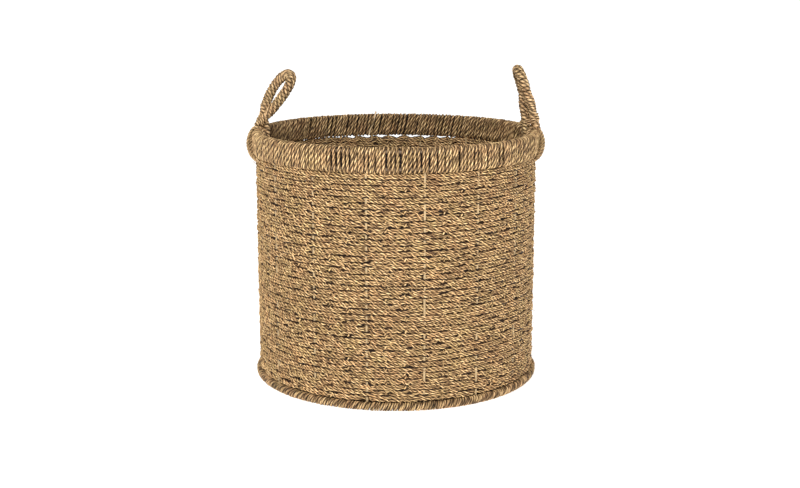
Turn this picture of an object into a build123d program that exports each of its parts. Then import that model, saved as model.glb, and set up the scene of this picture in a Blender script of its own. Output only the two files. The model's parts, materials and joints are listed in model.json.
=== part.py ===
from build123d import *
import math
import os

# Seagrass storage basket: woven wall on upright rods, wrapped rim band, whipped base
# border, woven base and two wrapped rope handles that swing at the rim.
# Millimetres. +Z is up, the front is -Y, and the origin is on the floor at the centre.

# ---- driving dimensions ----
RIM_OUTER_R = 190.0
RIM_INNER_R = 176.5
RIM_TOP_Z = 330.0
RIM_BOTTOM_Z = 297.0

WALL_OUTER_R = 187.3
WALL_INNER_R = 176.3
STAKE_R = (WALL_OUTER_R + WALL_INNER_R) / 2

STAKE_COUNT = 48
STAKES_PER_ROD = 3
ROD_D = 3.0
CORD_STAKE_D = 3.6
CHANNEL_GAP = 0.3

BORDER_R = 184.7
BORDER_SECTION_R = 5.8
BORDER_CENTRE_Z = 5.4

HOOP_D = 4.0
BASE_THICKNESS = 6.0
BASE_BOTTOM_Z = 3.2
BASE_KNOT_R = 20.0

ROPE_D = 13.0
CORE_D = 6.0
LASHING_THICKNESS = 1.5
LASHING_START = -1.5
LASHING_HEIGHT = 6.0

HINGE_X = 177.0
HINGE_Z = 341.5
LEFT_LEAN = 30.5
RIGHT_LEAN = 13.3
LEFT_TWIST = 25.0
RIGHT_TWIST = 3.0
LEFT_LENGTH = 68.7
RIGHT_LENGTH = 66.8

# Each strap crosses the band above its handle's hinge and slants forward to its foot.
STRAP_WIDTH = 9.0
STRAP_THICKNESS = 2.2
STRAP_INNER_LEG = 2.5
STRAP_BULGE_R = 198.0
STRAP_FOOT_Y = -45.0
STRAP_FIT = 0.4

# ---- derived places ----
RIM_HEIGHT = RIM_TOP_Z - RIM_BOTTOM_Z
RIM_MIDDLE_Z = (RIM_TOP_Z + RIM_BOTTOM_Z) / 2
WALL_BOTTOM_Z = BORDER_CENTRE_Z + BORDER_SECTION_R + 0.2
WALL_TOP_Z = RIM_BOTTOM_Z - 1.5
HOOP_R = STAKE_R + ROD_D / 2 + HOOP_D / 2 + 0.05
RIM_WRAP_THICKNESS = 3.5
UPPER_HOOP_Z = RIM_TOP_Z - RIM_WRAP_THICKNESS - HOOP_D / 2 - 0.3
LOWER_HOOP_Z = RIM_BOTTOM_Z + RIM_WRAP_THICKNESS + HOOP_D / 2 + 0.5
BASE_R = BORDER_R - BORDER_SECTION_R - 0.2
SPOKE_Z = BASE_BOTTOM_Z + BASE_THICKNESS / 2


def write(node, shape):
    """Name a finished shape after its node and write its STEP file."""
    shape.label = node
    export_step(shape, f"parts/{node}.step")


def stake_angles():
    """Return every stake's angle in degrees, counted from +X."""
    pitch = 360 / STAKE_COUNT
    return [-90 + pitch * (index + 0.5) for index in range(STAKE_COUNT)]


def rod_angles():
    """Every third stake is a frame rod."""
    return stake_angles()[1::STAKES_PER_ROD]


def cord_stake_angles():
    """The other stakes are twisted cord."""
    rods = rod_angles()
    return [angle for angle in stake_angles() if angle not in rods]


def around(angle, radius, z):
    """Return the point on a circle about the basket's axis."""
    turn = math.radians(angle)
    return (radius * math.cos(turn), radius * math.sin(turn), z)


def upright(angle, diameter, bottom, top):
    """Make an upright cylinder on the stake circle."""
    centre = around(angle, STAKE_R, bottom)
    return Pos(*centre) * extrude(Circle(diameter / 2), top - bottom)


def spoke(angle, diameter, start, end):
    """Make a level cylinder that runs outwards from the basket's axis."""
    section = Plane(origin=around(angle, start, SPOKE_Z), z_dir=around(angle, 1, 0))
    return extrude(section * Circle(diameter / 2), end - start)


def ring(radius, z, section_r):
    """Make a round-section ring about the basket's axis."""
    return Pos(0, 0, z) * Torus(radius, section_r)


def disc_ring(inner, outer, bottom, top):
    """Make a flat-ended ring of rectangular section."""
    sketch = Circle(outer) - Circle(inner)
    return Pos(0, 0, bottom) * extrude(sketch, top - bottom)


def strap_slab(width):
    """Make the slanted slab that cuts both straps out of rings round the band."""
    slant = math.degrees(math.atan2(STRAP_FOOT_Y, RIM_HEIGHT))
    slab = Box(4 * RIM_OUTER_R, width, 4 * RIM_HEIGHT)
    return Pos(0, STRAP_FOOT_Y / 2, RIM_MIDDLE_Z) * Rot(slant, 0, 0) * slab


# ---- wall ----
def side_weave():
    """The woven wall, with a channel for each stake and a notch under each handle strap."""
    wall = disc_ring(WALL_INNER_R, WALL_OUTER_R, WALL_BOTTOM_Z, WALL_TOP_Z)
    low = WALL_BOTTOM_Z - 1
    high = WALL_TOP_Z + 1
    wall -= [upright(a, ROD_D + CHANNEL_GAP, low, high) for a in rod_angles()]
    wall -= [upright(a, CORD_STAKE_D + CHANNEL_GAP, low, high) for a in cord_stake_angles()]
    notch_bottom = RIM_BOTTOM_Z - STRAP_FIT - STRAP_THICKNESS - CHANNEL_GAP
    notches = strap_slab(STRAP_WIDTH + 2 * CHANNEL_GAP)
    notches &= disc_ring(WALL_INNER_R - 1, WALL_OUTER_R + 1, notch_bottom, high)
    return wall - notches


def frame_rod(angle):
    """One upright rod, from the base ring up to the upper rim hoop."""
    bottom = BORDER_CENTRE_Z + HOOP_D / 2 + 0.2
    return upright(angle, ROD_D, bottom, UPPER_HOOP_Z + HOOP_D / 2)


def cord_stakes():
    """The cord stakes, which end under the rim band."""
    top = RIM_BOTTOM_Z - 0.1
    bottom = WALL_BOTTOM_Z + 0.1
    return Compound([upright(a, CORD_STAKE_D, bottom, top) for a in cord_stake_angles()])


# ---- rim ----
def rim_wrap():
    """The wrapped band, hollow where the hoops and the tops of the rods lie."""
    with BuildPart() as band:
        with BuildSketch(Plane.XZ):
            with Locations(((RIM_INNER_R + RIM_OUTER_R) / 2, RIM_MIDDLE_Z)):
                outline = Rectangle(RIM_OUTER_R - RIM_INNER_R, RIM_HEIGHT)
            top_corners = outline.vertices().group_by(Axis.Z)[-1]
            bottom_corners = outline.vertices().group_by(Axis.Z)[0]
            fillet(top_corners, 6.0)
            fillet(bottom_corners, 3.0)
        revolve(axis=Axis.Z)
    cavity_inner = STAKE_R - ROD_D / 2 - 0.2
    cavity_outer = HOOP_R + HOOP_D / 2 + 0.25
    cavity = disc_ring(
        cavity_inner,
        cavity_outer,
        RIM_BOTTOM_Z + RIM_WRAP_THICKNESS,
        RIM_TOP_Z - RIM_WRAP_THICKNESS,
    )
    wrap = band.part - cavity
    low = RIM_BOTTOM_Z - 1
    high = RIM_BOTTOM_Z + RIM_WRAP_THICKNESS + 1
    return wrap - [upright(a, ROD_D + CHANNEL_GAP, low, high) for a in rod_angles()]


# ---- base ----
def base_border():
    """The whipped ring at the foot, flattened where it stands on the floor."""
    border = ring(BORDER_R, BORDER_CENTRE_Z, BORDER_SECTION_R)
    border -= Pos(0, 0, -BORDER_SECTION_R) * Cylinder(RIM_OUTER_R * 2, BORDER_SECTION_R * 2)
    border -= ring(BORDER_R, BORDER_CENTRE_Z, HOOP_D / 2 + 0.15)
    low = BORDER_CENTRE_Z + 1
    high = WALL_BOTTOM_Z + 1
    return border - [upright(a, ROD_D + CHANNEL_GAP, low, high) for a in rod_angles()]


def base_weave():
    """The woven base, with a channel for each spoke."""
    top = BASE_BOTTOM_Z + BASE_THICKNESS
    disc = disc_ring(BASE_KNOT_R + 0.1, BASE_R, BASE_BOTTOM_Z, top)
    return disc - [
        spoke(a, ROD_D + CHANNEL_GAP, BASE_KNOT_R - 1, BASE_R + 1) for a in rod_angles()
    ]


def base_knot():
    """The start knot at the middle of the base."""
    top = BASE_BOTTOM_Z + BASE_THICKNESS
    knot = Pos(0, 0, BASE_BOTTOM_Z) * extrude(Circle(BASE_KNOT_R - 0.1), top - BASE_BOTTOM_Z)
    return fillet(knot.edges(), 1.0)


# ---- handles ----
# A handle is made upright about its hinge point: local Z runs up the handle, local Y is
# along the rim, and the legs stand side by side along Y at the neck.
LEG_HALF_GAP = ROPE_D / 2 + 0.25
LOOP_HALF_WIDTH = 19.5
NECK_STRAIGHT_END = 16.0
LOOP_WIDEST = 41.0
LEG_BOTTOM = -2.0


def loop_line(length, twist, bottom):
    """Return the handle's centre line: up one leg, over the top and down the other."""
    turn = math.radians(twist)
    wide_x = LOOP_HALF_WIDTH * math.sin(turn)
    wide_y = LOOP_HALF_WIDTH * math.cos(turn)
    leg = [
        (0, -LEG_HALF_GAP, bottom),
        (0, -LEG_HALF_GAP, NECK_STRAIGHT_END),
        (wide_x, -wide_y, LOOP_WIDEST),
        (wide_x, -wide_y, length),
    ]
    other_leg = [(-x, -y, z) for x, y, z in reversed(leg)]
    radii = [30.0, 22.0, 16.5]
    return FilletPolyline(*leg, *other_leg, radius=radii + radii[::-1])


def rope_along(line, diameter):
    """Sweep a round section along a line."""
    start = Plane(origin=line @ 0, z_dir=line % 0)
    return sweep(start * Circle(diameter / 2), path=line)


def handle_wrap(length, twist):
    """The cord wrap: a tube round the core rope."""
    line = loop_line(length, twist, LEG_BOTTOM)
    return rope_along(line, ROPE_D) - rope_along(line, CORE_D + CHANNEL_GAP)


def handle_core(length, twist):
    """The core rope, which shows a little below the wrap."""
    return rope_along(loop_line(length, twist, LEG_BOTTOM - 2.0), CORE_D)


def neck_lashing():
    """The lashing that ties both legs together above the hinge."""
    inner_r = ROPE_D / 2 + 0.1
    outer_r = inner_r + LASHING_THICKNESS
    outer = SlotCenterToCenter(2 * LEG_HALF_GAP, 2 * outer_r, rotation=90)
    inner = SlotCenterToCenter(2 * LEG_HALF_GAP, 2 * inner_r, rotation=90)
    return Pos(0, 0, LASHING_START) * extrude(outer - inner, LASHING_HEIGHT)


def place_handle(shape, side, lean):
    """Lean an upright handle piece inwards and set it on its hinge point."""
    return Pos(side * HINGE_X, 0, HINGE_Z) * Rot(0, -side * lean, 0) * shape


def rim_strap():
    """The right strap: cords laid round the band, thickest at the bulge outside it."""
    inner_r = RIM_INNER_R - STRAP_FIT
    outer_r = RIM_OUTER_R + STRAP_FIT
    low = RIM_BOTTOM_Z - STRAP_FIT
    high = RIM_TOP_Z + STRAP_FIT
    leg_r = inner_r - STRAP_INNER_LEG
    foot_r = outer_r + 1.0
    under = low - STRAP_THICKNESS
    over = high + STRAP_THICKNESS
    outside = Polyline((foot_r, under), (leg_r, under), (leg_r, over), (foot_r, over))
    outside += ThreePointArc((foot_r, over), (STRAP_BULGE_R, RIM_MIDDLE_Z), (foot_r, under))
    inside = Polyline((inner_r, low), (outer_r, low), (outer_r, high), (inner_r, high), close=True)
    section = make_face(Plane.XZ * outside) - make_face(Plane.XZ * inside)
    right_half = Pos(RIM_OUTER_R, 0, RIM_MIDDLE_Z) * Box(2 * RIM_OUTER_R, 2 * RIM_OUTER_R, 2 * RIM_HEIGHT)
    return revolve(section, axis=Axis.Z) & strap_slab(STRAP_WIDTH) & right_half


def write_handle(name, side, length, lean, twist):
    """Write one handle's four nodes."""
    write(f"{name}_handle_wrap", place_handle(handle_wrap(length, twist), side, lean))
    write(f"{name}_handle_core", place_handle(handle_core(length, twist), side, lean))
    write(f"{name}_neck_lashing", place_handle(neck_lashing(), side, lean))
    strap = rim_strap()
    if side < 0:
        strap = mirror(strap, about=Plane.YZ)
    write(f"{name}_rim_strap", strap)


def main():
    """Write every node."""
    os.makedirs("parts", exist_ok=True)
    write("side_weave", side_weave())
    write("cord_stakes", cord_stakes())
    for index, angle in enumerate(rod_angles(), start=1):
        write(f"frame_rod_{index:02d}", frame_rod(angle))
    write("rim_wrap", rim_wrap())
    write("rim_hoop_upper", ring(HOOP_R, UPPER_HOOP_Z, HOOP_D / 2))
    write("rim_hoop_lower", ring(HOOP_R, LOWER_HOOP_Z, HOOP_D / 2))
    write("base_border", base_border())
    write("base_ring", ring(BORDER_R, BORDER_CENTRE_Z, HOOP_D / 2))
    write("base_weave", base_weave())
    write("base_knot", base_knot())
    for index, angle in enumerate(rod_angles(), start=1):
        write(f"base_spoke_{index:02d}", spoke(angle, ROD_D, BASE_KNOT_R + 0.5, BASE_R - 0.3))
    write_handle("left", -1, LEFT_LENGTH, LEFT_LEAN, LEFT_TWIST)
    write_handle("right", 1, RIGHT_LENGTH, RIGHT_LEAN, RIGHT_TWIST)


main()
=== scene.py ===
"""Seagrass storage basket: its woven looks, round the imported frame. Metres, +Z up, front at -Y."""
import json
import math

import bpy
import numpy as np
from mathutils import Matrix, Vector


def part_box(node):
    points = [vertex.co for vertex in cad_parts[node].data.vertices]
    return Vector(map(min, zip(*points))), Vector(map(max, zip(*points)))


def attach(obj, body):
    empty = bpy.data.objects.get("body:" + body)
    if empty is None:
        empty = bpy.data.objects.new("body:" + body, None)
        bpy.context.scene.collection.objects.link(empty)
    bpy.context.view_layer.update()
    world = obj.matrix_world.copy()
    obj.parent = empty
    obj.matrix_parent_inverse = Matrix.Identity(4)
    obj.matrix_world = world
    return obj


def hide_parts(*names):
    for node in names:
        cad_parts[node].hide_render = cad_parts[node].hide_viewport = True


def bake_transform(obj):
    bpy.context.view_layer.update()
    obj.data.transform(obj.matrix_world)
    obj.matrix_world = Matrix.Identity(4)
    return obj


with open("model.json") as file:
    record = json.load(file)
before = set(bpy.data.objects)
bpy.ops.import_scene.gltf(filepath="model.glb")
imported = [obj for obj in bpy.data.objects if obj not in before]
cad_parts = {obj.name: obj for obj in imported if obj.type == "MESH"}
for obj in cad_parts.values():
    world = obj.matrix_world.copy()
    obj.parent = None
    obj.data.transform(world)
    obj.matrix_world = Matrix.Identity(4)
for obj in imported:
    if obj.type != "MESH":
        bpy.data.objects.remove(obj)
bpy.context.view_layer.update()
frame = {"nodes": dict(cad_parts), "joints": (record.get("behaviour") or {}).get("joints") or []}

MM = 0.001
TURN = 2 * math.pi

# ---- places, read from the frame ----
rim_low, rim_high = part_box("rim_wrap")
wall_low, wall_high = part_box("side_weave")
border_low, border_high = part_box("base_border")
base_low, base_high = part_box("base_weave")
knot_low, knot_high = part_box("base_knot")
hinges = {joint["child"]: Vector(joint["pos_m"]) for joint in frame["joints"]}

WALL_THICKNESS = 11.0 * MM
RIM_THICKNESS = 13.5 * MM
STAKES = 48
STAKES_PER_ROD = 3
STAKE_R = wall_high.x - WALL_THICKNESS / 2
RIM_R = rim_high.x - RIM_THICKNESS / 2
RIM_Z = (rim_low.z + rim_high.z) / 2
RIM_HALF_HEIGHT = (rim_high.z - rim_low.z) / 2


# ---- numbers ----
def rng_for(name):
    """A seeded random source that depends only on the piece's name."""
    seed = sum(ord(letter) * (place + 7) for place, letter in enumerate(name))
    return np.random.default_rng(seed)


def wander(rng, angles, size, waves):
    """Smooth noise that closes round a ring: sine waves of seeded height and phase."""
    total = np.zeros_like(angles)
    for wave in waves:
        total += rng.normal() * np.cos(wave * angles + rng.uniform(0, TURN))
    return total * size / math.sqrt(len(waves))


def drift(rng, count, size, smooth):
    """Smooth open noise: random numbers averaged over a window."""
    raw = rng.normal(size=count + smooth)
    window = np.hanning(smooth + 2)[1:-1]
    out = np.convolve(raw, window / math.sqrt((window ** 2).sum()), mode="same")
    return out[:count] * size


def ease(value):
    """A smooth step from 0 to 1."""
    value = np.clip(value, 0, 1)
    return value * value * (3 - 2 * value)


def unit(vectors):
    """Vectors scaled to length one."""
    return vectors / np.maximum(np.linalg.norm(vectors, axis=-1, keepdims=True), 1e-12)


def along(points, closed):
    """(tangent, distance from the start, whole length) of a line of points."""
    if closed:
        tangent = np.roll(points, -1, 0) - np.roll(points, 1, 0)
        steps = np.linalg.norm(np.roll(points, -1, 0) - points, axis=1)
    else:
        tangent = np.gradient(points, axis=0)
        steps = np.append(np.linalg.norm(np.diff(points, axis=0), axis=1), 0.0)
    distance = np.concatenate([[0.0], np.cumsum(steps)])[:len(points)]
    return unit(tangent), distance, steps.sum()


def ring_angles(count):
    """Even angles round a whole turn."""
    return np.arange(count) * TURN / count


def round_points(angles, radius, z):
    """Points about the basket's axis."""
    radius = np.broadcast_to(radius, angles.shape)
    z = np.broadcast_to(z, angles.shape)
    return np.stack([radius * np.cos(angles), radius * np.sin(angles), z], axis=-1)


def read_at(where, distance, table):
    """Read a table of vectors at distances along a line."""
    columns = [np.interp(where, distance, column) for column in table.T]
    return np.stack(columns, 1)


def resample(points, count, closed=False):
    """The same line with evenly spaced points."""
    if closed:
        points = np.vstack([points, points[:1]])
    steps = np.linalg.norm(np.diff(points, axis=0), axis=1)
    reach = np.concatenate([[0.0], np.cumsum(steps)])
    return read_at(np.linspace(0, reach[-1], count, endpoint=not closed), reach, points)


def smooth_line(points, count):
    """A smooth even line near control points, by cutting its corners four times."""
    line = np.array(points, float)
    for _ in range(4):
        cut = [line[0]]
        for before, after in zip(line[:-1], line[1:]):
            cut.append(before * 0.75 + after * 0.25)
            cut.append(before * 0.25 + after * 0.75)
        cut.append(line[-1])
        line = np.array(cut)
    return resample(line, count)


def rounded_box(half_width, half_height, corner, count):
    """An even rounded rectangle, as (across, up) points from half way up its right side."""
    corners = [(1, 1, 0), (-1, 1, 90), (-1, -1, 180), (1, -1, 270)]
    steps = 8
    points = [(half_width, 0.0)]
    for side, level, start in corners:
        for step in range(steps + 1):
            turn = math.radians(start + step * 90 / steps)
            across = side * (half_width - corner) + corner * math.cos(turn)
            up = level * (half_height - corner) + corner * math.sin(turn)
            points.append((across, up))
    return resample(np.array(points), count, closed=True)


# ---- cords ----
GROOVE_POWER = 1.4
# Painted shade on the sides of a cord that face the next cords: the share of colour left there, and
# the power of its fall-off.
SIDE_SHADE_LEVEL = 0.2
SIDE_SHADE_POWER = 0.6
HEART_SIDES = 4
GRAIN_R = 2 * MM
SIZE_SPREAD = 0.05


def ply_outline(plies, count, depth):
    """Angles and radii of a twisted cord's section: a lobe for each ply, with grooves between."""
    angles = ring_angles(count)
    lobe = np.abs(np.cos(plies * angles / 2))
    return angles, 1 - depth * (1 - lobe) ** GROOVE_POWER


class Bundle:
    """Many cords gathered into one mesh, with what their material needs stored on each point."""

    def __init__(self, name):
        self.name = name
        self.rng = rng_for(name)
        self.points = []
        self.grain = []
        self.marks = []
        self.quads = []
        self.caps = []
        self.count = 0

    def cord(self, centres, outward, radius, pitch, closed=False,
             plies=2, sides=10, depth=0.46, flat=1.0):
        """Add one twisted cord along centres. It twists as a right-hand screw."""
        tangent, distance, length = along(centres, closed)
        normal = unit(outward - (outward * tangent).sum(1, keepdims=True) * tangent)
        side = np.cross(tangent, normal)
        turns = max(round(length / pitch), 1) if closed else length / pitch
        twist = distance / length * turns * TURN + self.rng.uniform(0, TURN)
        angles, reach = ply_outline(plies, sides, depth)
        around = angles[None, :] + twist[:, None]
        size = np.broadcast_to(radius, (len(centres),))[:, None] * reach[None, :]
        squeeze = np.broadcast_to(flat, (len(centres),))[:, None]
        points = (centres[:, None, :]
                  + (size * squeeze * np.cos(around))[..., None] * normal[:, None, :]
                  + (size / squeeze * np.sin(around))[..., None] * side[:, None, :])
        # Painted light mask: one on the ply crests of the faces that look out, falling to zero in
        # the grooves and on the sides that face the next cords. The material paints shade and
        # highlight from it.
        painted_light_mask = (reach - reach.min()) / max(1 - reach.min(), 0.05)
        side_shade = SIDE_SHADE_LEVEL + (1 - SIDE_SHADE_LEVEL) * np.abs(np.cos(around)) ** SIDE_SHADE_POWER
        run = np.abs(distance - length / 2) if closed else distance
        self.store(points, run, angles, reach, painted_light_mask[None, :] * side_shade, closed)

    def heart(self, centres, outward, half_out, half_up):
        """Add a plain strand inside a closed cord, coloured near-black as painted shade. It fills
        the gaps to the next cords.
        """
        tangent, distance, _ = along(centres, True)
        side = np.cross(tangent, outward)
        angles = ring_angles(HEART_SIDES)
        reach_up = np.broadcast_to(half_up, (len(centres),))[:, None, None]
        points = (centres[:, None, :]
                  + half_out * np.cos(angles)[None, :, None] * outward[:, None, :]
                  + reach_up * np.sin(angles)[None, :, None] * side[:, None, :])
        # Painted shade: a light mask of zero makes the strand near-black.
        self.store(points, distance, angles, np.full(HEART_SIDES, 0.5), 0.0, True)

    def store(self, points, distance, angles, reach, painted_light_mask, closed):
        """Keep one swept tube: its points, its grain and tone, its painted light mask and its faces.
        """
        rings, sides = points.shape[:2]
        grain = np.empty((rings, sides, 3))
        grain[..., 0] = distance[:, None]
        grain[..., 1] = np.cos(angles)[None, :] * reach * GRAIN_R
        grain[..., 2] = np.sin(angles)[None, :] * reach * GRAIN_R
        marks = np.empty((rings, sides, 2))
        marks[..., 0] = self.rng.uniform()
        marks[..., 1] = painted_light_mask
        first = self.count
        ring = np.arange(rings if closed else rings - 1)
        spoke = np.arange(sides)
        here = (ring * sides)[:, None]
        ahead = ((ring + 1) % rings * sides)[:, None]
        beside = (spoke + 1) % sides
        corners = [here + spoke, here + beside, ahead + beside, ahead + spoke]
        self.quads.append(np.stack([corner.ravel() for corner in corners], 1) + first)
        if not closed:
            self.caps.append(first + spoke[::-1])
            self.caps.append(first + (rings - 1) * sides + spoke)
        self.points.append(points.reshape(-1, 3))
        self.grain.append(grain.reshape(-1, 3))
        self.marks.append(marks.reshape(-1, 2))
        self.count += rings * sides

    def mesh(self):
        """Turn what was gathered into a smooth-shaded object."""
        points = np.concatenate(self.points)
        quads = np.concatenate(self.quads)
        cap_sizes = np.array([len(cap) for cap in self.caps], int)
        sizes = np.concatenate([np.full(len(quads), 4), cap_sizes])
        mesh = bpy.data.meshes.new(self.name)
        mesh.vertices.add(len(points))
        mesh.vertices.foreach_set("co", points.astype(np.float32).ravel())
        corners = np.concatenate([quads.ravel()] + self.caps).astype(np.int32)
        mesh.loops.add(len(corners))
        mesh.loops.foreach_set("vertex_index", corners)
        mesh.polygons.add(len(sizes))
        starts = np.concatenate([[0], np.cumsum(sizes)[:-1]]).astype(np.int32)
        mesh.polygons.foreach_set("loop_start", starts)
        mesh.polygons.foreach_set("use_smooth", np.ones(len(sizes), bool))
        mesh.update(calc_edges=True)
        grain = mesh.attributes.new("grain", "FLOAT_VECTOR", "POINT")
        grain.data.foreach_set("vector", np.concatenate(self.grain).astype(np.float32).ravel())
        marks = np.concatenate(self.marks).astype(np.float32)
        for place, label in enumerate(("tone", "painted_light_mask")):
            layer = mesh.attributes.new(label, "FLOAT", "POINT")
            layer.data.foreach_set("value", marks[:, place].copy())
        obj = bpy.data.objects.new(self.name, mesh)
        bpy.context.scene.collection.objects.link(obj)
        return obj


def finish_piece(bundle, material, nodes):
    """Mesh a bundle, give it its material and hide the CAD nodes that it stands for."""
    obj = bundle.mesh()
    obj.data.materials.append(material)
    if nodes:
        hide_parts(*nodes)
    return obj


def fixed_piece(bundle, material, slot, *nodes):
    """A piece that stays on the basket."""
    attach(finish_piece(bundle, material, nodes), "basket")


# ---- materials ----
def new_material(name):
    """An empty node material with its Principled shader."""
    material = bpy.data.materials.new(name)
    material.use_nodes = True
    tree = material.node_tree
    return material, tree, tree.nodes["Principled BSDF"]


def node(tree, kind, **values):
    """Add a node, setting its inputs or its properties by name."""
    made = tree.nodes.new(kind)
    for key, value in values.items():
        if key in made.inputs:
            made.inputs[key].default_value = value
        else:
            setattr(made, key, value)
    return made


def ramp(tree, factor, stops):
    """Add a colour ramp through the given (place, colour) stops."""
    made = tree.nodes.new("ShaderNodeValToRGB")
    elements = made.color_ramp.elements
    while len(elements) < len(stops):
        elements.new(0.5)
    for element, (spot, colour) in zip(elements, stops):
        element.position = spot
        element.color = (*colour, 1)
    tree.links.new(factor, made.inputs["Fac"])
    return made.outputs["Color"]


def noise(tree, vector, scale, detail=3.0, rough=0.55):
    """Add a noise texture on a vector and return its value."""
    made = node(tree, "ShaderNodeTexNoise", Scale=scale, Detail=detail, Roughness=rough)
    tree.links.new(vector, made.inputs["Vector"])
    return made.outputs["Fac"]


def stretched(tree, vector, scale):
    """Scale a vector by a different amount on each axis."""
    made = node(tree, "ShaderNodeMapping", Scale=scale)
    tree.links.new(vector, made.inputs["Vector"])
    return made.outputs["Vector"]


def multiplied(tree, share, first, second):
    """Multiply two colours, with the second at the given share."""
    made = tree.nodes.new("ShaderNodeMix")
    made.data_type = "RGBA"
    made.blend_type = "MULTIPLY"
    made.inputs[0].default_value = share
    tree.links.new(first, made.inputs[6])
    tree.links.new(second, made.inputs[7])
    return made.outputs[2]


def rough_between(tree, shader, value, low, high):
    """Drive the shader's roughness from a value between two limits."""
    made = tree.nodes.new("ShaderNodeMapRange")
    made.inputs["To Min"].default_value = low
    made.inputs["To Max"].default_value = high
    tree.links.new(value, made.inputs["Value"])
    tree.links.new(made.outputs["Result"], shader.inputs["Roughness"])


def bumped(tree, shader, height, strength, distance):
    """Give the shader a bump from a height."""
    made = node(tree, "ShaderNodeBump", Strength=strength, Distance=distance)
    tree.links.new(height, made.inputs["Height"])
    tree.links.new(made.outputs["Normal"], shader.inputs["Normal"])


def seagrass(name, light, middle, dark, painted_light_share=1.0):
    """Twisted dry seagrass: fibres along each ply, blades of different tone, with painted shade in
    the grooves and a painted highlight on the crests.
    """
    material, tree, shader = new_material(name)
    grain = node(tree, "ShaderNodeAttribute", attribute_name="grain").outputs["Vector"]
    tone = node(tree, "ShaderNodeAttribute", attribute_name="tone").outputs["Vector"]
    painted_light_mask = node(tree, "ShaderNodeAttribute", attribute_name="painted_light_mask").outputs["Fac"]
    place_in = node(tree, "ShaderNodeTexCoord").outputs["Object"]

    shift = node(tree, "ShaderNodeVectorMath", operation="SCALE", Scale=3.0)
    tree.links.new(tone, shift.inputs[0])
    moved = node(tree, "ShaderNodeVectorMath", operation="ADD")
    tree.links.new(grain, moved.inputs[0])
    tree.links.new(shift.outputs["Vector"], moved.inputs[1])
    own = moved.outputs["Vector"]

    fibres = noise(tree, stretched(tree, own, (90, 2400, 2400)), 1.0, detail=4.0, rough=0.6)
    blades = noise(tree, stretched(tree, own, (110, 420, 420)), 1.0, detail=2.0, rough=0.6)
    patches = noise(tree, place_in, 24.0, detail=3.0, rough=0.6)
    tinge = noise(tree, place_in, 55.0, detail=2.0, rough=0.5)

    colour = ramp(tree, blades, [(0.34, dark), (0.50, middle), (0.64, light)])
    fibre_tone = [(0.32, (0.36, 0.31, 0.27)), (0.52, (1, 1, 1)), (0.72, (1.35, 1.32, 1.25))]
    colour = multiplied(tree, 0.8, colour, ramp(tree, fibres, fibre_tone))
    patch_tone = [(0.30, (0.86, 0.82, 0.78)), (0.50, (1, 1, 1)), (0.70, (1.08, 1.07, 1.03))]
    colour = multiplied(tree, 0.8, colour, ramp(tree, patches, patch_tone))
    tinge_tone = [(0.30, (1.06, 0.97, 0.95)), (0.50, (1, 1, 1)), (0.70, (0.97, 1.01, 0.93))]
    colour = multiplied(tree, 0.8, colour, ramp(tree, tinge, tinge_tone))
    # Painted shade and highlight: near-black where the painted light mask is zero, up to 1.28 times
    # brighter on the crests, at the given share.
    painted_light_tone = [(0.0, (0.04, 0.025, 0.015)), (0.45, (0.42, 0.36, 0.31)),
                   (0.9, (1.28, 1.28, 1.27))]
    colour = multiplied(tree, painted_light_share, colour, ramp(tree, painted_light_mask, painted_light_tone))
    tree.links.new(colour, shader.inputs["Base Color"])
    rough_between(tree, shader, fibres, 0.52, 0.80)
    shader.inputs["Specular IOR Level"].default_value = 0.35
    bumped(tree, shader, fibres, 0.75, 0.0005)
    return material


def cane(name, light, dark):
    """Split cane: fine grain along the rod, satin."""
    material, tree, shader = new_material(name)
    place_in = node(tree, "ShaderNodeTexCoord").outputs["Object"]
    lines = noise(tree, stretched(tree, place_in, (900, 900, 25)), 1.0, detail=3.0)
    tree.links.new(ramp(tree, lines, [(0.3, dark), (0.62, light)]), shader.inputs["Base Color"])
    rough_between(tree, shader, lines, 0.38, 0.60)
    bumped(tree, shader, lines, 0.3, 0.0003)
    return material


# Each cord's colours: light blades, middle blades, dark blades.
WALL_CORD = seagrass("seagrass_wall",
                     (0.94, 0.67, 0.355), (0.63, 0.412, 0.19), (0.18, 0.10, 0.045))
RIM_CORD = seagrass("seagrass_rim",
                    (0.86, 0.615, 0.325), (0.51, 0.33, 0.155), (0.12, 0.07, 0.03))
BASE_CORD = seagrass("seagrass_base",
                     (0.72, 0.50, 0.265), (0.42, 0.275, 0.13), (0.10, 0.06, 0.025))
# The handle cords get a weaker painted shade and highlight.
HANDLE_CORD = seagrass("seagrass_handle",
                       (0.88, 0.64, 0.36), (0.66, 0.45, 0.23), (0.34, 0.215, 0.105), painted_light_share=0.8)
PALE_CORD = seagrass("seagrass_pale",
                     (0.98, 0.84, 0.62), (0.88, 0.70, 0.46), (0.60, 0.44, 0.26))
CANE = cane("pale_cane", (0.54, 0.39, 0.21), (0.37, 0.255, 0.125))
HOOP = cane("brown_cane", (0.20, 0.13, 0.07), (0.10, 0.06, 0.03))


# ---- wall ----
ROW_PITCH = 3.64 * MM
FIRST_ROW_Z = wall_low.z + 2.4 * MM
LAST_ROW_Z = wall_high.z + 0.2 * MM
ROWS = round((LAST_ROW_Z - FIRST_ROW_Z) / ROW_PITCH) + 1
ROWS_PER_PIECE = 9
ROW_CORD_R = 2.2 * MM
ROW_TWIST = (14, 23)  # shortest and longest turn of a cord's twist, in millimetres
PAIR_SHIFT = 0.2 * MM
ROW_SWING = 2.5 * MM
RINGS_PER_STAKE = 16
STAKE_REACH = 5.5 * MM

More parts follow.
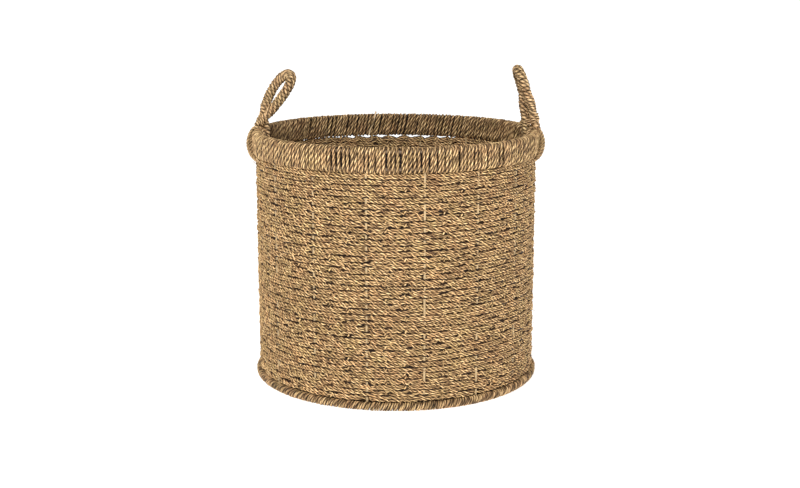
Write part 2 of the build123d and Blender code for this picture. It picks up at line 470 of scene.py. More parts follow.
# How rows stray, in size and in waves round the ring: all of them slowly, both rows of a pair,
# each row alone, its swing in and out, and its thickness.
LEAN, LEAN_WAVES, LEAN_TURNS = 0.4 * MM, (2, 3, 5, 9), (2.2, 1.3)
BEND, BEND_WAVES = 0.46 * MM, (7, 13, 31, 47, 60, 83, 110, 140)
STRAY, STRAY_WAVES = 0.42 * MM, (31, 47, 83, 110, 140, 170, 200, 230)
SWING_STRAY, SWING_WAVES = 0.12, (9, 17, 29)
SIZE_STRAY, SIZE_WAVES = 0.09, (5, 11, 29, 41, 67, 97)

# Where a row lies between stakes, outside one and inside one, as shares of its swing.
BETWEEN = 0.45
OUTSIDE = (0.1, 0.5)
INSIDE = -1.7
# The depth inside a stake is random. The higher the power, the more often a row lies shallow.
ROD_DEPTH_POWER, CORD_DEPTH_POWER = 0.9, 1.6

# The last rows sag at the back, which leaves a broken slit under the rim band.
BACK_START, BACK_EDGE = 0.85, 0.06
BACK_DROP = 1.8 * MM
BACK_WAVES, BACK_RIPPLE = 53, 0.7
SAG_POWER = 9

# A rod shows in front of some of the rows that would cover it, more often at some heights.
BARE_SHARE = 0.25
BARE_SWING = 0.3
BARE_WAVES, BARE_STEP = 7, 2.3

# Slits lie anywhere, pits beside the stakes. Opening and half length are in millimetres.
SLITS, SLIT_OPENING, SLIT_HALF = 260, (0.2, 0.85), (5, 16)
PITS, PIT_OPENING, PIT_HALF = 2600, (0.4, 1.3), (2.2, 4.2)
PIT_OFFSET = 5.5 * MM
FOOT_MARGIN, TOP_MARGIN = 4 * MM, 8 * MM
SLIT_FADE = 3.4 * MM
TOP_FADE = 9 * MM
CRACK_OPENING, CRACK_HALF = 1.3, 38
CRACK_ANGLE = math.radians(-77.5)
CRACK_Z = 153.6 * MM

# The strand inside each row, coloured near-black as painted shade, and its added height where a slit
# parts two rows, so the slit shows painted shade.
HEART_OUT = 0.8 * MM
HEART_UP = 3.0 * MM
LAST_HEART_UP = 2.6 * MM
SLIT_FILL = 1.6


def stake_angle(index):
    """The angle of a stake about the basket's axis."""
    return (index + 0.5) * TURN / STAKES - TURN / 4


def is_rod(index):
    """Every third stake is a pale rod."""
    return index % STAKES_PER_ROD == 1


class Slits:
    """Places where two rows part a little: anywhere, beside the stakes, and at one long crack."""

    def __init__(self, rng):
        stakes = rng.integers(0, STAKES, PITS)
        beside = rng.choice([-1, 1], PITS) * PIT_OFFSET / STAKE_R
        anywhere = rng.uniform(0, TURN, SLITS)
        self.angle = np.concatenate([anywhere, stake_angle(stakes) + beside, [CRACK_ANGLE]])
        z = rng.uniform(wall_low.z + FOOT_MARGIN, wall_high.z - TOP_MARGIN, SLITS + PITS)
        self.z = np.append(z, CRACK_Z)
        opening = [rng.uniform(*SLIT_OPENING, SLITS), rng.uniform(*PIT_OPENING, PITS)]
        self.opening = np.concatenate(opening + [[CRACK_OPENING]]) * MM
        half = [rng.uniform(*SLIT_HALF, SLITS), rng.uniform(*PIT_HALF, PITS)]
        self.half_length = np.concatenate(half + [[CRACK_HALF]]) * MM

    def push(self, angles, z):
        """How far a row at this height is pushed up or down along its length."""
        rise = z - self.z
        close = np.abs(rise) < 4 * SLIT_FADE
        apart = (angles[:, None] - self.angle[None, close] + math.pi) % TURN - math.pi
        near = np.exp(-(apart * STAKE_R / self.half_length[close]) ** 2)
        fade = np.sign(rise[close]) * np.exp(-np.abs(rise[close]) / SLIT_FADE)
        return (near * fade * self.opening[close]).sum(1)


def over_under(rng, angles, first_out, level):
    """How far out a row lies along its length, as shares of its swing: out and in by turns."""
    out = np.full_like(angles, BETWEEN)
    for index in range(STAKES):
        apart = (angles - stake_angle(index) + math.pi) % TURN - math.pi
        near = np.exp(-(apart * STAKE_R / STAKE_REACH) ** 2)
        outside = first_out * (1 if index % 2 == 0 else -1) > 0
        phase = BARE_WAVES * TURN * level + BARE_STEP * index
        bare_share = BARE_SHARE + BARE_SWING * math.sin(phase)
        bare = is_rod(index) and rng.uniform() < bare_share
        depth = rng.uniform(0, 1) ** (ROD_DEPTH_POWER if is_rod(index) else CORD_DEPTH_POWER)
        out += near * (rng.uniform(*OUTSIDE) if outside and not bare else INSIDE * depth)
    return out


def back_sag(angles, level):
    """How far a row hangs down at the back: only the last rows do."""
    ripple = 1 + BACK_RIPPLE * np.sin(BACK_WAVES * angles)
    sag = ease((np.sin(angles) - BACK_START) / BACK_EDGE) * ripple
    return BACK_DROP * level ** SAG_POWER * sag


def weave_row(bundle, row, ring, stray, slits):
    """One row of the wall: its twisted cord and the strand inside it, which is painted near-black as
    shade.
    """
    level = row / (ROWS - 1)
    start = bundle.rng.integers(len(ring))
    angles = np.roll(ring, start)
    out = over_under(bundle.rng, angles, 1 if row // 2 % 2 else -1, level)
    z = FIRST_ROW_Z + (LAST_ROW_Z - FIRST_ROW_Z) * level + (-PAIR_SHIFT if row % 2 else PAIR_SHIFT)
    push = slits.push(angles, z) * ease((LAST_ROW_Z - z) / TOP_FADE)
    z = z + np.roll(stray, start) + push + wander(bundle.rng, angles, STRAY, STRAY_WAVES)
    swing = ROW_SWING * (1 + wander(bundle.rng, angles, SWING_STRAY, SWING_WAVES))
    size = ROW_CORD_R * (1 + wander(bundle.rng, angles, SIZE_STRAY, SIZE_WAVES))
    centres = round_points(angles, STAKE_R + out * swing, z - back_sag(angles, level))
    outward = round_points(angles, 1.0, 0.0)
    twist = bundle.rng.uniform(*ROW_TWIST) * MM
    bundle.cord(centres, outward, size, twist, closed=True, plies=3, sides=12, depth=0.5, flat=1.2)
    # The strand grows into each slit, where it shows as painted shade.
    half_up = (HEART_UP if row < ROWS - 1 else LAST_HEART_UP) + SLIT_FILL * np.abs(push)
    bundle.heart(centres[::2], outward[::2], HEART_OUT, half_up[::2])


def weave_rows():
    """The wall's rows, laid in pairs that pass outside and inside the stakes by turns."""
    rng = rng_for("weave")
    slits = Slits(rng)
    ring = ring_angles(STAKES * RINGS_PER_STAKE)
    lean = [wander(rng, ring, LEAN, LEAN_WAVES) for _ in range(2)]
    bundles = []
    for first in range(0, ROWS, ROWS_PER_PIECE):
        bundle = Bundle(f"weave_rows_{first // ROWS_PER_PIECE + 1:02d}")
        for row in range(first, min(first + ROWS_PER_PIECE, ROWS)):
            if row % 2 == 0:
                bend = wander(rng, ring, BEND, BEND_WAVES)
            level = row / (ROWS - 1)
            slow = (lean[0] * math.cos(LEAN_TURNS[0] * TURN * level)
                    + lean[1] * math.sin(LEAN_TURNS[1] * TURN * level)) * math.sin(math.pi * level)
            weave_row(bundle, row, ring, slow + bend, slits)
        bundles.append(bundle)
    return bundles


STAKE_CORD_R = 2.1 * MM
STAKE_TWIST = 12 * MM
STAKE_RISE = 2 * MM
STAKE_POINTS = 150
STAKE_CROOK, CROOK_WINDOW = 0.0010, 30


def cord_stakes():
    """The upright cord stakes, a little crooked, in the channels of the wall."""
    bundle = Bundle("upright_cords")
    low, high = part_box("cord_stakes")
    heights = np.linspace(low.z, high.z + STAKE_RISE, STAKE_POINTS)
    for index in range(STAKES):
        if is_rod(index):
            continue
        angle = stake_angle(index) + drift(bundle.rng, STAKE_POINTS, STAKE_CROOK, CROOK_WINDOW)
        centres = round_points(angle, STAKE_R, heights)
        bundle.cord(centres, round_points(angle, 1.0, 0.0), STAKE_CORD_R, STAKE_TWIST, sides=8)
    return bundle


# ---- rim ----
RIM_CORD_R = 2.15 * MM
RIM_WRAP_PITCH = 4.85 * MM
RIM_TWIST = 23 * MM
RIM_RINGS = 48
RIM_CORNER = 0.98
RIM_SLANT = 7.0 * MM
RIM_TILT, TILT_PHASE = 0.45 * MM, 0.6
RIM_PROUD = 0.28 * MM
RIM_HEIGHT_SPREAD = 0.012
STEP_SPREAD, LEAST_STEP = 0.11, 0.75
GAP_SHARE = 0.2
GAP_WIDTH = (0.12, 0.4)
FILLING_CORDS = 7
FILLING_POINTS = 360
FILLING_R = 2.6 * MM
FILLING_INSET = 4.5 * MM


def wrap_places(rng, turns):
    """Where each turn of the rim wrap lies, as shares of the whole ring, with a few open gaps."""
    steps = 1 + rng.normal(size=turns) * STEP_SPREAD
    steps += (rng.uniform(size=turns) < GAP_SHARE) * rng.uniform(*GAP_WIDTH, turns)
    places = np.cumsum(np.maximum(steps, LEAST_STEP))
    return places / places[-1]


def rim_wraps():
    """The rim band in four quarters: cord over the hoops, upright outside and slanted inside."""
    turns = round(TURN * RIM_R / RIM_WRAP_PITCH / 4) * 4
    half_width = RIM_THICKNESS / 2 - RIM_CORD_R
    half_height = RIM_HALF_HEIGHT - RIM_CORD_R
    outline = rounded_box(half_width, half_height, half_width * RIM_CORNER, RIM_RINGS)[::-1]
    inner = ease(0.5 - outline[:, 0] / half_width / 2)
    slant = inner * outline[:, 1] / half_height * RIM_SLANT / 2
    share = np.arange(RIM_RINGS) / RIM_RINGS
    places = wrap_places(rng_for("rim"), turns)
    bundles = []
    for quarter in range(4):
        bundle = Bundle(f"rim_wrap_cords_{quarter + 1}")
        rng = bundle.rng
        for turn in range(quarter * turns // 4, (quarter + 1) * turns // 4):
            height = rng.normal() * RIM_TILT
            tilt = height * np.cos(share * TURN + rng.uniform(-TILT_PHASE, TILT_PHASE))
            angles = -places[turn] * TURN + (tilt - slant) / RIM_R
            across = outline[:, 0] + np.sign(outline[:, 0]) * (rng.normal() * RIM_PROUD)
            z = RIM_Z + outline[:, 1] * (1 + rng.normal() * RIM_HEIGHT_SPREAD)
            centres = round_points(angles, RIM_R + across, z)
            outward = centres - round_points(angles, RIM_R, RIM_Z)
            size = RIM_CORD_R * (1 + rng.normal() * SIZE_SPREAD)
            bundle.cord(centres, outward, size, RIM_TWIST, closed=True,
                        plies=3, sides=12, depth=0.45)
        bundles.append(bundle)
    return bundles


def rim_filling():
    """Strands laid round inside the band, coloured near-black as painted shade, seen only through
    the gaps between its turns.
    """
    bundle = Bundle("rim_filling_cords")
    angles = ring_angles(FILLING_POINTS)
    outward = round_points(angles, 1.0, 0.0)
    for z in np.linspace(rim_low.z + FILLING_INSET, rim_high.z - FILLING_INSET, FILLING_CORDS):
        bundle.heart(round_points(angles, RIM_R, z), outward, FILLING_R, FILLING_R)
    return bundle


# The end's way down the inside of the band: (along the band, height), in millimetres.
WRAP_END_WAY = [(-29, 333.0), (-31, 328.0), (-32, 318.0), (-38, 309.0), (-40, 299.0)]
WRAP_END_R = 1.3 * MM
WRAP_END_TWIST = 30 * MM
WRAP_END_GAP = 0.6 * MM
# Above this height it turns out over the band, within this height, by this much.
OVER_START, OVER_HEIGHT, OVER_OUT = 327 * MM, 6 * MM, 3 * MM


def wrap_end():
    """The loose end of the rim wrap, tucked down across the inside of the band at the back."""
    bundle = Bundle("rim_wrap_end")
    line = smooth_line(WRAP_END_WAY, 40) * MM
    inner = rim_high.x - RIM_THICKNESS - WRAP_END_GAP
    angles = TURN / 4 - line[:, 0] / inner
    over_the_top = OVER_OUT * ease((line[:, 1] - OVER_START) / OVER_HEIGHT)
    centres = round_points(angles, inner + over_the_top, line[:, 1])
    outward = round_points(angles, -1.0, 0.0)
    bundle.cord(centres, outward, WRAP_END_R, WRAP_END_TWIST, plies=1, sides=8, depth=0.1)
    return bundle


# ---- base ----
BORDER_CORD_R = 1.6 * MM
BORDER_PITCH = 3.15 * MM
BORDER_TWIST = 20 * MM
BORDER_SLANT = 1.3 * MM
BORDER_RINGS = 20
BORDER_RISE = 0.2 * MM
BORDER_DEPTH_SPREAD, BORDER_STEP_SPREAD = 0.08, 0.12
BASE_ROW_PITCH = 3.9 * MM
BASE_CORD_R = 2.05 * MM
BASE_TWIST = 11 * MM
BASE_SWING = 1.1 * MM
BASE_STRAY, BASE_WAVES = 0.2 * MM, (3, 7, 11)
BASE_RING_GAP = 2.1 * MM
COIL_CORD_R = 2.3 * MM
COIL_TURNS = 5
COIL_TWIST = 10 * MM
COIL_POINTS = 320
COIL_START_R, COIL_INSET = 1.2 * MM, 3.0 * MM
FLAT_HEART = 0.5 * MM
BASE_HEART_OUT = 2.7 * MM
EDGE_HEART_OUT, EDGE_HEART_PAST, EDGE_POINTS = 3.6 * MM, 1.2 * MM, 240
# Rings that close the start, coloured near-black as painted shade: (radius, half width).
KNOT_HEARTS = [(knot_high.x - 1.0 * MM, 3.4 * MM), (1.8 * MM, 2.6 * MM)]
KNOT_POINTS = 48
# Spokes that the rows of the base cross: (beyond this radius, their number).
SPOKE_BANDS = [(90 * MM, 48), (50 * MM, 32), (0.0, 16)]


def border_wraps():
    """The base border: cord whipped round the base ring at a slant."""
    section = (border_high.z - border_low.z) / 2
    centre_r = border_high.x - section
    centre_z = (border_low.z + border_high.z) / 2 + BORDER_RISE
    turns = round(TURN * centre_r / BORDER_PITCH / 2) * 2
    around = -np.arange(BORDER_RINGS) / BORDER_RINGS * TURN
    slant = BORDER_SLANT * np.sin(around) / centre_r
    bundles = []
    for half in range(2):
        bundle = Bundle(f"base_border_cords_{half + 1}")
        rng = bundle.rng
        for turn in range(half * turns // 2, (half + 1) * turns // 2):
            reach = section - BORDER_CORD_R * (1 + rng.normal() * BORDER_DEPTH_SPREAD)
            place = turn + 0.5 + rng.normal() * BORDER_STEP_SPREAD
            angles = place * TURN / turns + slant
            radius = centre_r + reach * np.cos(around)
            centres = round_points(angles, radius, centre_z + reach * np.sin(around))
            outward = centres - round_points(angles, centre_r, centre_z)
            size = BORDER_CORD_R * (1 + rng.normal() * SIZE_SPREAD)
            bundle.cord(centres, outward, size, BORDER_TWIST, closed=True, sides=8, depth=0.3)
        bundles.append(bundle)
    return bundles


def base_rows():
    """The woven base: rings of cord over and under the spokes, and strands between them coloured
    near-black as painted shade.
    """
    bundle = Bundle("base_weave_rows")
    filling = Bundle("base_filling_cords")
    middle_z = (base_low.z + base_high.z) / 2
    rows = round((base_high.x - knot_high.x) / BASE_ROW_PITCH)
    for row in range(rows):
        radius = knot_high.x + (row + 0.5) * (base_high.x - knot_high.x) / rows
        spokes = next(number for beyond, number in SPOKE_BANDS if radius > beyond)
        count = max(round(TURN * radius / BASE_RING_GAP / spokes), 4) * spokes
        angles = ring_angles(count)
        side = 1 if row % 2 else -1
        z = middle_z + side * BASE_SWING * np.cos(spokes / 2 * (angles - stake_angle(0)))
        wobble = wander(bundle.rng, angles, BASE_STRAY, BASE_WAVES)
        centres = round_points(angles, radius + wobble, z)
        up = np.tile([0.0, 0.0, 1.0], (count, 1))
        bundle.cord(centres, up, BASE_CORD_R, BASE_TWIST, closed=True, sides=8)
        outward = round_points(angles, 1.0, 0.0)
        strand = round_points(angles, radius, middle_z)
        filling.heart(strand, outward, BASE_HEART_OUT, FLAT_HEART)
    edge = ring_angles(EDGE_POINTS)
    outward = round_points(edge, 1.0, 0.0)
    edge_line = round_points(edge, base_high.x + EDGE_HEART_PAST, middle_z)
    filling.heart(edge_line, outward, EDGE_HEART_OUT, FLAT_HEART)
    return [bundle, filling]


def base_knot():
    """The coiled start of the base, with rings that close it, coloured near-black as painted shade.
    """
    bundle = Bundle("base_start_coil")
    middle_z = (knot_low.z + knot_high.z) / 2
    share = np.linspace(0, 1, COIL_POINTS)
    radius = COIL_START_R + share * (knot_high.x - COIL_INSET)
    centres = round_points(share * COIL_TURNS * TURN, radius, middle_z)
    up = np.tile([0.0, 0.0, 1.0], (len(share), 1))
    bundle.cord(centres, up, COIL_CORD_R, COIL_TWIST)
    ring = ring_angles(KNOT_POINTS)
    outward = round_points(ring, 1.0, 0.0)
    for radius, half_width in KNOT_HEARTS:
        bundle.heart(round_points(ring, radius, middle_z), outward, half_width, FLAT_HEART)
    return bundle


# ---- handles ----
ROPE_R = 6.9 * MM
WRAP_CORD_R = 2.3 * MM
WRAP_FLAT = 0.84
WRAP_PITCH = 4.7 * MM
WRAP_TWIST = 11 * MM
WRAP_POINTS = 24
WRAP_GROOVE = 0.34
WRAP_SLANT_PHASE = 0.25
CORE_INSET = 1.6
CORE_TWIST = 18 * MM
ROPE_POINTS = 900
LASHING_CORD_R = 1.5 * MM
LASHING_TWIST = 12 * MM
LASHING_POINTS = 44
LASHING_GAPS = (0.2 * MM, 0.4 * MM)
STRAP_FOOT_Y = -45 * MM
STRAP_TWIST = 12 * MM
STRAP_POINTS = 160

# In millimetres: how a loop bows, half its width at the top and where its neck ends, how the
# turns of its wrap stray and slant, the lashing's heights and slant, and how strap cords stray.
HANDLE_BOW, LOOP_TOP_HALF_WIDTH, NECK_TOP = 2.2, 9.0, 12
WRAP_STRAY, WRAP_SLANT, WRAP_PROUD = 0.18, 1.1, 0.1
LASHING_LEVELS = (-3.6, -0.6, 2.4)
LASHING_SLANT, LASHING_SPREAD = 2.2, 0.4
STRAP_STRAY = 0.4

# The strap's cords: (place across it, distance out from its middle layer, radius), in millimetres.
STRAP_CORDS = [(-6.6, 0, 2.5), (0.6, 0.3, 2.6), (5.6, 0, 2.5), (-2.6, -3.4, 2.3),
               (2.6, -3.4, 2.3), (7.8, -3.2, 2.3), (12.5, -3.4, 2.3)]
# Each handle's side, its lean over the mouth in degrees, its length in millimetres, and how the
# loop turns about its own length, in degrees, from its base up to a height in millimetres.
HANDLES = {
    "left": {"side": -1, "lean": 33.0, "length": 69.7, "base_turn": 10.0, "top_turn": 25.0,
             "turn_height": 9, "neck_r": 5.5 * MM},
    "right": {"side": 1, "lean": 14.3, "length": 68.0, "base_turn": 70.0, "top_turn": 3.0,
              "turn_height": 34, "neck_r": 6.2 * MM},
}
# Half of each loop at rest: (height above the hinge, half width), in millimetres.
HALF_LOOPS = {
    "left": [(3, 5.8), (9, 8.2), (16, 12.0), (26, 16.5), (37, 19.5), (48, 20.6), (60, 17.5)],
    "right": [(3, 5.5), (11, 6.0), (22, 11.0), (33, 17.0), (45, 20.6), (58, 18.0)],
}
# The rope's way down each face of the band: (distance out from that face, height from the
# band's middle, rope radius), in millimetres.
OUTSIDE_WAYS = {
    "left": [(-7.0, 22, 5.0), (-4.5, 17, 3.2), (-1.5, 11, 2.4)],
    "right": [(-5.6, 23, 6.3), (-2.6, 17, 4.8), (-1.0, 10, 3.8), (0.0, 4, 2.9)],
}
INSIDE_WAY = [(-3.4, 21, 6.3), (-5.2, 13, 5.4), (-4.8, 4, 4.6), (-3.6, -6, 3.6)]


def face_point(side, face_r, way):
    """A point of the rope's way down one face of the band, with the rope's radius there."""
    out, height, radius = way
    return (side * (face_r + out * MM), 0.0, RIM_Z + height * MM, radius * MM)


def loop_points(name, shape):
    """Points of a handle's loop at rest, from near leg to far leg, with the rope's radius."""
    side = shape["side"]
    near = []
    for height, width in HALF_LOOPS[name] + [(shape["length"], LOOP_TOP_HALF_WIDTH)]:
        share = ease(height / shape["turn_height"])
        turn = math.radians(shape["base_turn"] + (shape["top_turn"] - shape["base_turn"]) * share)
        near.append((width * math.sin(turn), -width * math.cos(turn), height))
    loop = near + [(-x, -y, height) for x, y, height in near[::-1]]
    lean = math.radians(-side * shape["lean"])
    hinge = hinges[f"{name}_handle"]
    placed = []
    for x, y, height in loop:
        x += side * HANDLE_BOW * math.sin(math.pi * height / shape["length"])
        across = x * math.cos(lean) + height * math.sin(lean)
        up = height * math.cos(lean) - x * math.sin(lean)
        radius = ROPE_R if height > NECK_TOP else shape["neck_r"]
        placed.append((hinge.x + across * MM, hinge.y + y * MM, hinge.z + up * MM, radius))
    return placed


def handle_line(name, shape):
    """A handle's whole rope, as points and radii: up one face of the band, round and down."""
    side = shape["side"]
    outside = [face_point(side, rim_high.x, way) for way in OUTSIDE_WAYS[name]]
    inside = [face_point(side, rim_high.x - RIM_THICKNESS, way) for way in INSIDE_WAY]
    near_way, far_way = (outside, inside) if side > 0 else (inside, outside)
    line = smooth_line(near_way[::-1] + loop_points(name, shape) + far_way, ROPE_POINTS)
    return line[:, :3], line[:, 3]


def carried_frames(line):
    """Tangents and normals carried along a line without twisting."""
    tangent, distance, length = along(line, False)
    normal = np.cross(tangent[0], [0.0, 1.0, 0.0])
    normals = []
    for direction in tangent:
        normal = normal - np.dot(normal, direction) * direction
        normal = normal / np.linalg.norm(normal)
        normals.append(normal)
    return tangent, np.array(normals), distance, length


def wound_cord(bundle, line, radii):
    """Wind a cord round a rope as turns that touch each other."""
    tangent, normal, distance, length = carried_frames(line)
    side = np.cross(tangent, normal)
    turns = round(length / WRAP_PITCH)
    around = np.arange(WRAP_POINTS) / WRAP_POINTS * TURN
    for turn in range(turns):
        spot = (turn + 0.5) / turns * length + bundle.rng.normal() * WRAP_STRAY * MM
        phase = bundle.rng.uniform(-WRAP_SLANT_PHASE, WRAP_SLANT_PHASE)
        slant = np.sin(around + phase) * WRAP_SLANT * MM
        where = np.clip(spot + slant, 0, length)
        outward = (read_at(where, distance, normal) * np.cos(around)[:, None]
                   + read_at(where, distance, side) * np.sin(around)[:, None])
        proud = bundle.rng.normal() * WRAP_PROUD * MM
        reach = np.interp(where, distance, radii) - WRAP_CORD_R * WRAP_FLAT + proud
        centres = read_at(where, distance, line) + outward * reach[:, None]
        size = WRAP_CORD_R * (1 + bundle.rng.normal() * SIZE_SPREAD)
        bundle.cord(centres, outward, size, WRAP_TWIST, closed=True,
                    depth=WRAP_GROOVE, flat=WRAP_FLAT)


def crossing_piece(bundle, node_name):
    """A piece of a handle: meshed with its material, its CAD node hidden and its transform baked
    into its points.
    """
    obj = finish_piece(bundle, HANDLE_CORD, [node_name])
    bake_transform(obj)


def handle(name, shape):
    """One wrapped handle with its core rope, down both faces of the band."""
    line, radii = handle_line(name, shape)
    wraps = Bundle(f"{name}_handle_cords")
    wound_cord(wraps, line, radii)
    crossing_piece(wraps, f"{name}_handle_wrap")
    core = Bundle(f"{name}_handle_rope")
    _, normal, _, _ = carried_frames(line)
    core.cord(line, normal, radii - CORE_INSET * WRAP_CORD_R, CORE_TWIST, plies=3, sides=12)
    crossing_piece(core, f"{name}_handle_core")


def neck_lashing(name, shape):
    """Turns of cord that tie both legs of a handle together at the neck."""
    bundle = Bundle(f"{name}_neck_cords")
    side = shape["side"]
    hinge = np.array(hinges[f"{name}_handle"])
    lean = math.radians(-side * shape["lean"])
    axis = np.array([math.sin(lean), 0, math.cos(lean)])
    level_x = np.array([math.cos(lean), 0, -math.sin(lean)])
    turn = math.radians(shape["base_turn"])
    wide = level_x * math.sin(turn) - np.array([0.0, 1.0, 0.0]) * math.cos(turn)
    thin = np.cross(axis, wide)
    around = np.arange(LASHING_POINTS) / LASHING_POINTS * TURN
    outward = np.cos(around)[:, None] * wide + np.sin(around)[:, None] * thin
    for level in LASHING_LEVELS:
        reach_wide = np.cos(around)[:, None] * wide * (2 * shape["neck_r"] + LASHING_GAPS[0])
        reach_thin = np.sin(around)[:, None] * thin * (shape["neck_r"] + LASHING_GAPS[1])
        slant = LASHING_SLANT + bundle.rng.normal() * LASHING_SPREAD
        tilt = (outward @ level_x) * side * slant * MM
        ring = hinge + axis * (level * MM) + reach_wide + reach_thin + tilt[:, None] * axis
        bundle.cord(ring, outward, LASHING_CORD_R, LASHING_TWIST, closed=True, sides=8)
    crossing_piece(bundle, f"{name}_neck_lashing")


def strap_loop(out):
    """One closed turn round the band, as (radius, height) points, moved out by some amount."""
    outer = rim_high.x + out
    inner = rim_high.x - RIM_THICKNESS
    top = rim_high.z
    low = rim_low.z
    loop = [
        (RIM_R, top + 1.4 * MM), (outer - 2 * MM, top + 0.6 * MM),
        (outer + 2.8 * MM, top - 6 * MM), (outer + 5.4 * MM, RIM_Z),
        (outer + 3.4 * MM, low + 5 * MM), (outer - 1.5 * MM, low - 1.6 * MM),
        (RIM_R, low - 2.0 * MM), (inner + 1 * MM, low - 1.2 * MM),
        (inner - 2.4 * MM, low + 5 * MM), (inner - 2.6 * MM, RIM_Z),
        (inner - 2.2 * MM, top - 6 * MM), (inner + 2 * MM, top + 0.8 * MM),
        (RIM_R, top + 1.4 * MM)]
    return smooth_line(loop, STRAP_POINTS)[:-1]


def strap_cords(name, shape):
    """Cords that hold the handle: over the band, slanting down both its faces and under it."""
    bundle = Bundle(f"{name}_strap_cords")
    for across, out, radius in STRAP_CORDS:
        line = strap_loop(out * MM)
        share = (rim_high.z - line[:, 1]) / (rim_high.z - rim_low.z)
        y = STRAP_FOOT_Y * share + across * MM + bundle.rng.normal() * STRAP_STRAY * MM
        x = np.sqrt(line[:, 0] ** 2 - y ** 2)
        centres = np.stack([shape["side"] * x, y, line[:, 1]], 1)
        heart_x = np.sqrt(RIM_R ** 2 - y ** 2)
        heart = np.stack([shape["side"] * heart_x, y, np.full(len(x), RIM_Z)], 1)
        bundle.cord(centres, centres - heart, radius * MM, STRAP_TWIST, closed=True, sides=8)
    fixed_piece(bundle, HANDLE_CORD, "seagrass_handle", f"{name}_rim_strap")


# ---- loose fibres ----
WALL_FIBRES = 260
RIM_FIBRES = 60
RIM_FIBRE_MARGIN = 4 * MM
FIBRE_SINK = 0.4 * MM
FIBRE_TWIST = 30 * MM
FIBRE_POINTS = 7
FIBRE_LENGTH, FIBRE_R = (3, 8), (0.2, 0.4)  # in millimetres
FIBRE_LIFT, FIBRE_BEND = (0.2, 0.8), (-0.5, 0.5)
FIBRE_TAPER = 0.75
TAIL_FIBRES = 9
TAIL_LENGTH, TAIL_SPREAD = (5, 9), 2  # in millimetres
TAIL_R = 0.45 * MM
TAIL_PLACE = np.array([-0.1812, -0.045, 0.2955])
TAIL_WAY = np.array([-1.0, -0.25, -0.2])


def loose_fibre(bundle, start, outward, length, thickness):
    """One thin blade end that curls away from the surface."""
    steps = np.linspace(0, 1, FIBRE_POINTS)[:, None]
    sideways = unit(np.cross(outward, bundle.rng.normal(size=3)))
    lift = bundle.rng.uniform(*FIBRE_LIFT)
    bend = bundle.rng.uniform(*FIBRE_BEND)
    third = np.cross(outward, sideways)
    curl = steps * sideways + lift * steps ** 1.5 * outward + bend * steps ** 2 * third
    centres = start + length * curl
    size = thickness * (1 - FIBRE_TAPER * steps[:, 0])
    outwards = np.tile(outward, (FIBRE_POINTS, 1))
    bundle.cord(centres, outwards, size, FIBRE_TWIST, plies=1, sides=4, depth=0.1)


def loose_fibres():
    """Blade ends that stand proud of the wall and the band, and a tuft at the left."""
    bundle = Bundle("loose_fibres")
    places = [(wall_high.x, border_high.z, wall_high.z, WALL_FIBRES),
              (rim_high.x, rim_low.z, rim_high.z - RIM_FIBRE_MARGIN, RIM_FIBRES)]
    for face_r, low, high, count in places:
        for _ in range(count):
            angle = bundle.rng.uniform(0, TURN)
            outward = np.array([math.cos(angle), math.sin(angle), 0.0])
            start = outward * (face_r - FIBRE_SINK)
            start[2] = bundle.rng.uniform(low, high)
            length = bundle.rng.uniform(*FIBRE_LENGTH) * MM
            loose_fibre(bundle, start, outward, length, bundle.rng.uniform(*FIBRE_R) * MM)
    outward = unit(TAIL_WAY)
    for _ in range(TAIL_FIBRES):
        start = TAIL_PLACE + bundle.rng.normal(size=3) * TAIL_SPREAD * MM
        loose_fibre(bundle, start, outward, bundle.rng.uniform(*TAIL_LENGTH) * MM, TAIL_R)
    return bundle


# ---- put the object together ----
def basket():
    """Every piece; the fixed ones on the basket's body."""
    for bundle in weave_rows():
        fixed_piece(bundle, WALL_CORD, "seagrass_wall", "side_weave")
    fixed_piece(cord_stakes(), WALL_CORD, "seagrass_wall", "cord_stakes")
    for bundle in rim_wraps():
        fixed_piece(bundle, RIM_CORD, "seagrass_rim", "rim_wrap")
    fixed_piece(rim_filling(), RIM_CORD, "seagrass_rim", "rim_wrap")
    fixed_piece(wrap_end(), PALE_CORD, "seagrass_rim")
    for bundle in border_wraps():
        fixed_piece(bundle, BASE_CORD, "seagrass_base", "base_border")
    for bundle in base_rows():
        fixed_piece(bundle, BASE_CORD, "seagrass_base", "base_weave")
    fixed_piece(base_knot(), BASE_CORD, "seagrass_base", "base_knot")
    for name, shape in HANDLES.items():
        handle(name, shape)
        neck_lashing(name, shape)
        strap_cords(name, shape)
    fixed_piece(loose_fibres(), WALL_CORD, "seagrass_wall")
    for name, obj in frame["nodes"].items():
        if name.startswith(("frame_rod", "base_spoke", "rim_hoop", "base_ring")):
            obj.data.materials.clear()
            obj.data.materials.append(HOOP if "hoop" in name or "ring" in name else CANE)


# ---- stage ----
FLOOR_HALF = 40
FLOOR_COLOUR = (0.88, 0.88, 0.88, 1)
FLOOR_ROUGHNESS = 0.9
FLOOR_GLOW = 0.75
WORLD_STRENGTH = 0.52
CAMERA_PLACE = (0.0055, -1.736, 0.542)
CAMERA_DOWN = 12.0
CAMERA_REACH = 200
SENSOR_WIDTH, LENS = 36, 59.1


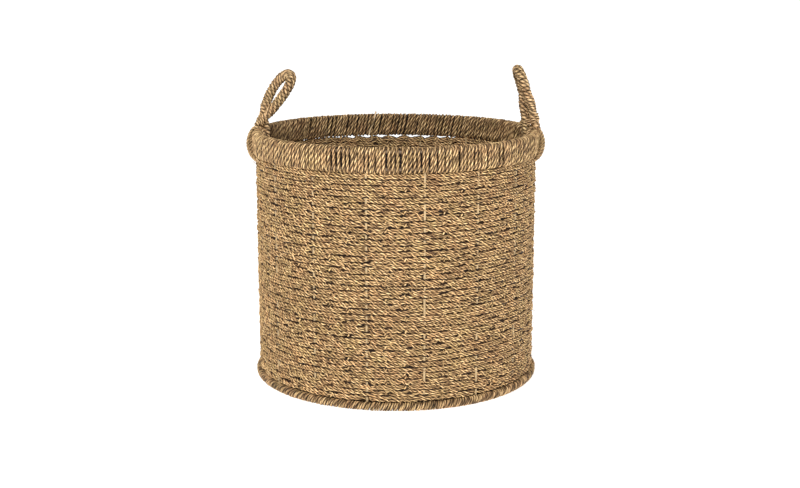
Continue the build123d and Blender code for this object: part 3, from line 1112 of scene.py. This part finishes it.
def area_light(name, location, target, size, power):
    """A soft rectangular light aimed at a point."""
    data = bpy.data.lights.new(name, "AREA")
    data.shape = "RECTANGLE"
    data.size = size[0]
    data.size_y = size[1]
    data.energy = power
    light = bpy.data.objects.new(name, data)
    light.location = location
    direction = Vector(target) - Vector(location)
    light.rotation_euler = direction.to_track_quat("-Z", "Y").to_euler()
    bpy.context.scene.collection.objects.link(light)


def studio():
    """A wide white floor that glows a little, a white surround and two soft lights."""
    material, _, shader = new_material("studio_floor")
    shader.inputs["Base Color"].default_value = FLOOR_COLOUR
    shader.inputs["Roughness"].default_value = FLOOR_ROUGHNESS
    shader.inputs["Emission Color"].default_value = (1, 1, 1, 1)
    shader.inputs["Emission Strength"].default_value = FLOOR_GLOW
    mesh = bpy.data.meshes.new("studio_floor")
    corners = [(x * FLOOR_HALF, y * FLOOR_HALF, 0) for x, y in ((-1, -1), (1, -1), (1, 1), (-1, 1))]
    mesh.from_pydata(corners, [], [(0, 1, 2, 3)])
    mesh.materials.append(material)
    floor = bpy.data.objects.new("studio_floor", mesh)
    bpy.context.scene.collection.objects.link(floor)

    world = bpy.data.worlds.new("studio")
    world.use_nodes = True
    background = world.node_tree.nodes["Background"]
    background.inputs["Color"].default_value = (1, 1, 1, 1)
    background.inputs["Strength"].default_value = WORLD_STRENGTH
    bpy.context.scene.world = world
    centre = (0, 0, 0.2)
    area_light("key_light", (-0.3, -1.9, 1.55), centre, (0.5, 0.35), 35)
    area_light("low_right_light", (1.4, -1.6, 0.22), (0, 0, 0.16), (1.2, 0.36), 5)


def camera():
    """The camera: 1.74 m in front, 0.54 m up, looking down by 12 degrees."""
    data = bpy.data.cameras.new("camera")
    data.sensor_width = SENSOR_WIDTH
    data.lens = LENS
    data.clip_end = CAMERA_REACH
    eye = bpy.data.objects.new("camera", data)
    eye.location = CAMERA_PLACE
    eye.rotation_euler = (math.radians(90 - CAMERA_DOWN), 0, 0)
    bpy.context.scene.collection.objects.link(eye)
    bpy.context.scene.camera = eye


camera()
studio()
basket()
bpy.context.scene.view_settings.view_transform = "Standard"
